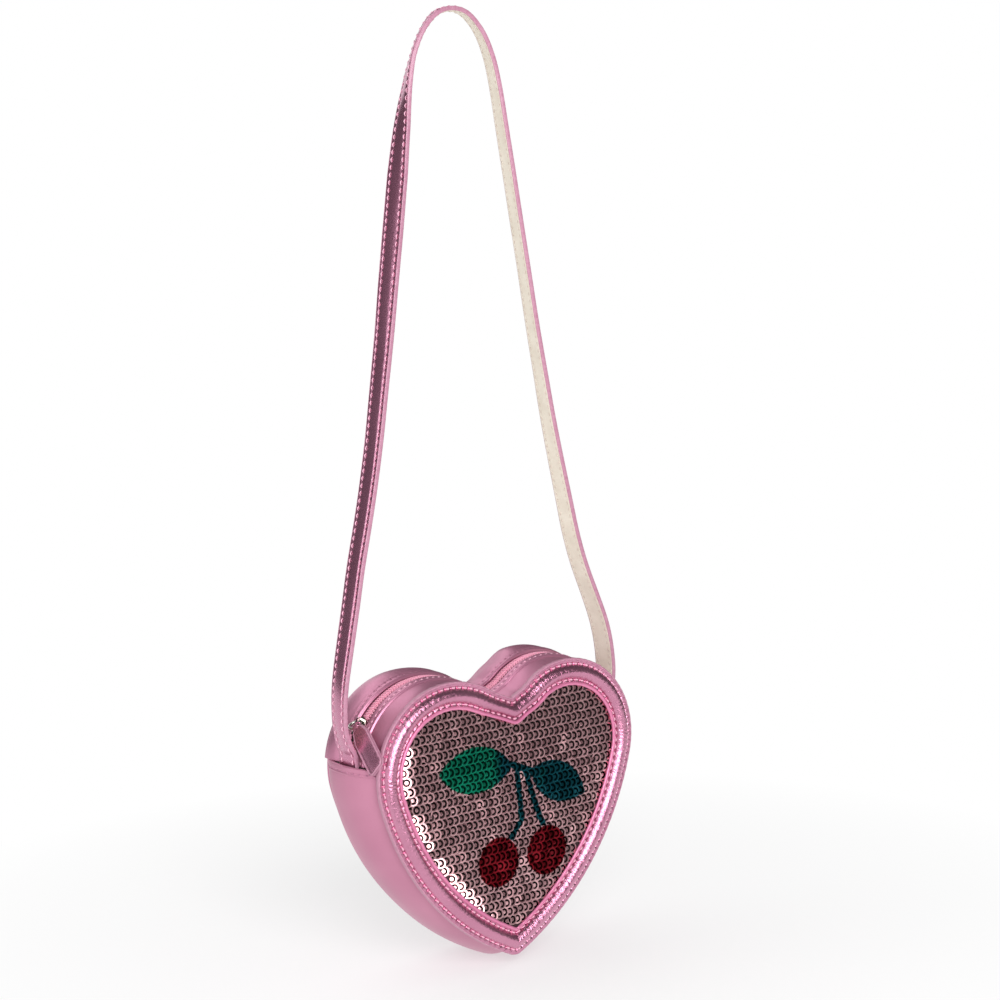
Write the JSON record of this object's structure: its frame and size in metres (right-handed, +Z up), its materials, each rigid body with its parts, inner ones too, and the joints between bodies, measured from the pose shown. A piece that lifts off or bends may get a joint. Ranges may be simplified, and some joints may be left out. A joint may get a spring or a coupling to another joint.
{
  "type": "heart shaped purse",
  "caption": "Zipped heart shaped shoulder bag with a padded frame round a sequin front, a swelling gusset, and a long flat strap sewn in at both sides.",
  "frame": {"origin": "inner side of the strap's crest, where the strap is held up", "axes": "+Z up, +X across the heart, +Y from the sequin front to the back"},
  "size_m": [0.1621, 0.0488, 0.4418],
  "materials": {
    "strap_leather": "metallic pink leather",
    "strap_lining": "cream suede",
    "metallic_leather": "metallic pink leather",
    "backing_cloth": "dark rose cloth",
    "rose_sequin": "rose gold sequin",
    "leaf_sequin": "green sequin",
    "cherry_sequin": "dark red sequin",
    "stiffening_board": "pressed fibre board",
    "lining_cloth": "woven lining",
    "zip_tape": "woven tape",
    "zip_coil": "nylon coil",
    "silver_metal": "silver plating"
  },
  "bodies": {
    "strap": {"strap_leather": "strap_leather", "strap_lining": "strap_lining"},
    "bag": {"strap_tail_left": "strap_leather", "strap_tail_right": "strap_leather", "front_frame": "metallic_leather", "sequin_backing": "backing_cloth", "rose_sequins": "rose_sequin", "leaf_sequins": "leaf_sequin", "cherry_sequins": "cherry_sequin", "front_board": "stiffening_board", "front_lining": "lining_cloth", "back_panel": "metallic_leather", "back_board": "stiffening_board", "back_lining": "lining_cloth", "bottom_gusset": "metallic_leather", "gusset_lining": "lining_cloth", "zip_band_front": "metallic_leather", "zip_band_back": "metallic_leather", "zip_tape_front": "zip_tape", "zip_tape_back": "zip_tape", "zip_coil_front": "zip_coil", "zip_coil_back": "zip_coil", "zip_stops": "silver_metal"},
    "slider": {"slider_body": "silver_metal", "slider_bridge": "silver_metal"},
    "pull_ring": {"pull_ring": "silver_metal"},
    "pull_tab": {"pull_tab": "metallic_leather"}
  },
  "joints": [
    {"name": "bag_swing", "type": "hinge", "parent": "strap", "child": "bag", "pos_m": [0, 0, -0.331], "axis": [1, 0, 0], "range_deg": [-24, 45]},
    {"name": "slider_travel", "type": "hinge", "parent": "bag", "child": "slider", "pos_m": [-0.0345, 0, -0.34], "axis": [0, 1, 0], "range_deg": [0, 85]},
    {"name": "ring_turn", "type": "hinge", "parent": "slider", "child": "pull_ring", "pos_m": [-0.07106, 0, -0.316], "axis": [-0.391, 0, 0.9204], "continuous": true},
    {"name": "tab_lift", "type": "hinge", "parent": "slider", "child": "pull_tab", "pos_m": [-0.0719, -0.00252, -0.31636], "axis": [-0.8651, 0.342, -0.367], "range_deg": [0, 35]}
  ]
}
